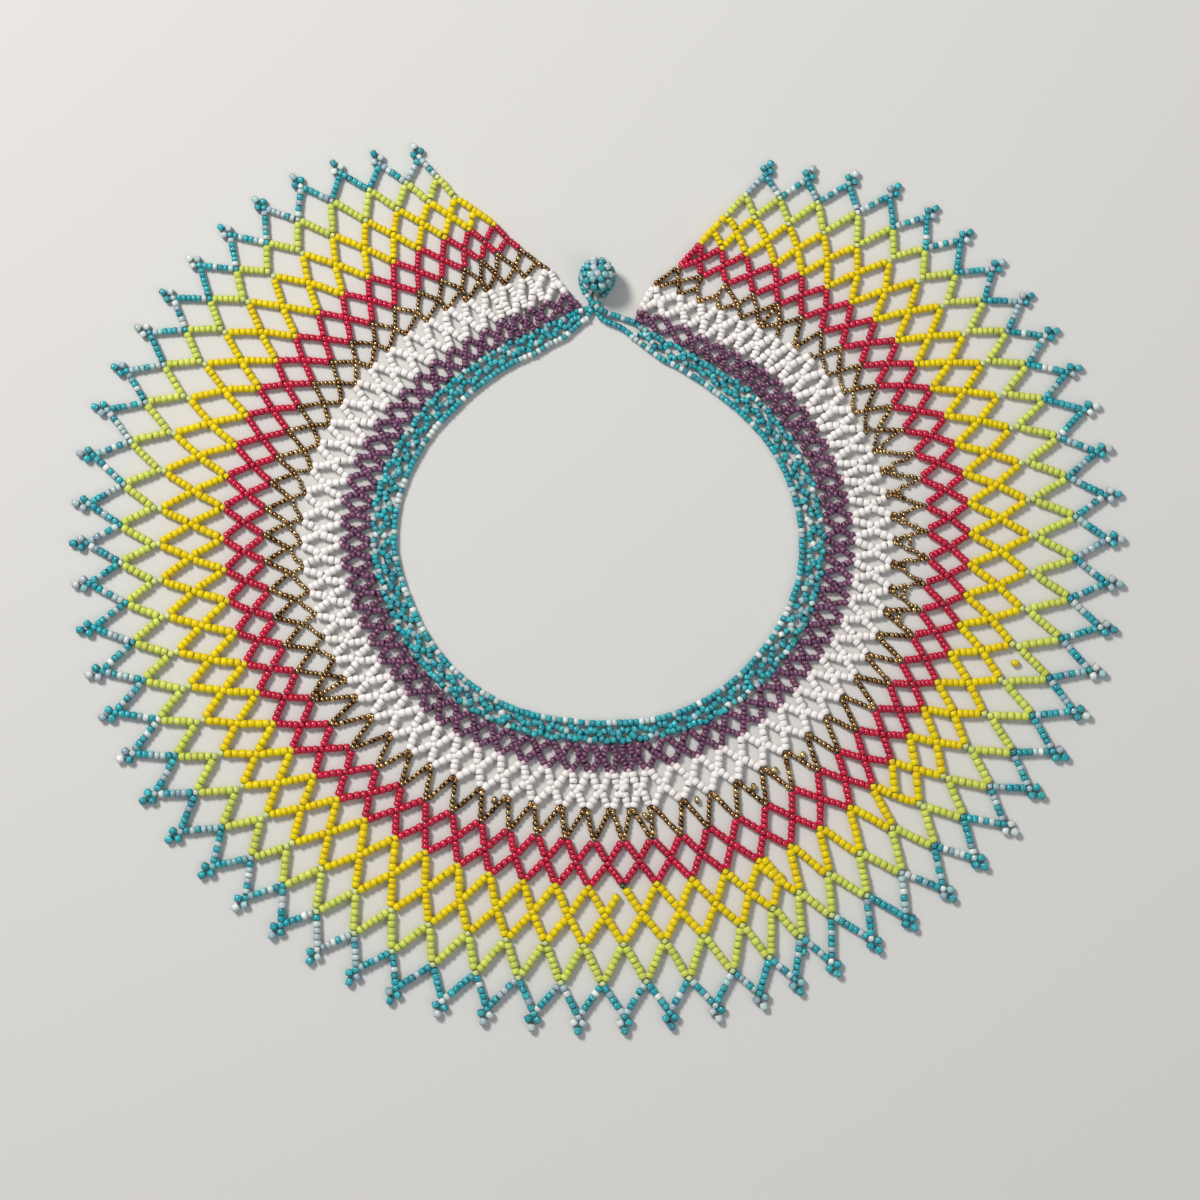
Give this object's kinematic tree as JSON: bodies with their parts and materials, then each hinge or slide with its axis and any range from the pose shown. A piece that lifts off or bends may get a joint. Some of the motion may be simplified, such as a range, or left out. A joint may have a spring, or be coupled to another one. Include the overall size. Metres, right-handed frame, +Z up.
{
  "type": "netted bead collar necklace",
  "caption": "Flat netted collar of glass seed beads in coloured bands, with picot points round its outer edge and a ball-and-loop button at the back.",
  "frame": {"origin": "middle of the collar's outline, on the surface that it lies on", "axes": "+Z up from the surface, +Y towards the button at the wearer's back, +X to the right as seen from above with the button at the top"},
  "size_m": [0.3183, 0.2694, 0.0118],
  "materials": {
    "turquoise_beads": "opaque glass with a pearly lustre, some beads white",
    "purple_beads": "opaque glass, dusty purple, satin",
    "white_beads": "opaque white glass, satin",
    "bronze_beads": "metallic bronze coating on glass",
    "crimson_beads": "opaque crimson glass, glossy",
    "yellow_beads": "opaque yellow glass, glossy",
    "lime_beads": "opaque lime glass, glossy",
    "thread": "dark beading thread"
  },
  "bodies": {
    "root": {"rim_strand": "turquoise_beads", "turquoise_band": "turquoise_beads", "purple_band": "purple_beads", "white_band": "white_beads", "bronze_band": "bronze_beads", "crimson_net": "crimson_beads", "yellow_net": "yellow_beads", "lime_net": "lime_beads", "turquoise_points": "turquoise_beads", "button_loop": "turquoise_beads", "button_ball": "turquoise_beads", "button_shank": "thread"}
  },
  "joints": []
}
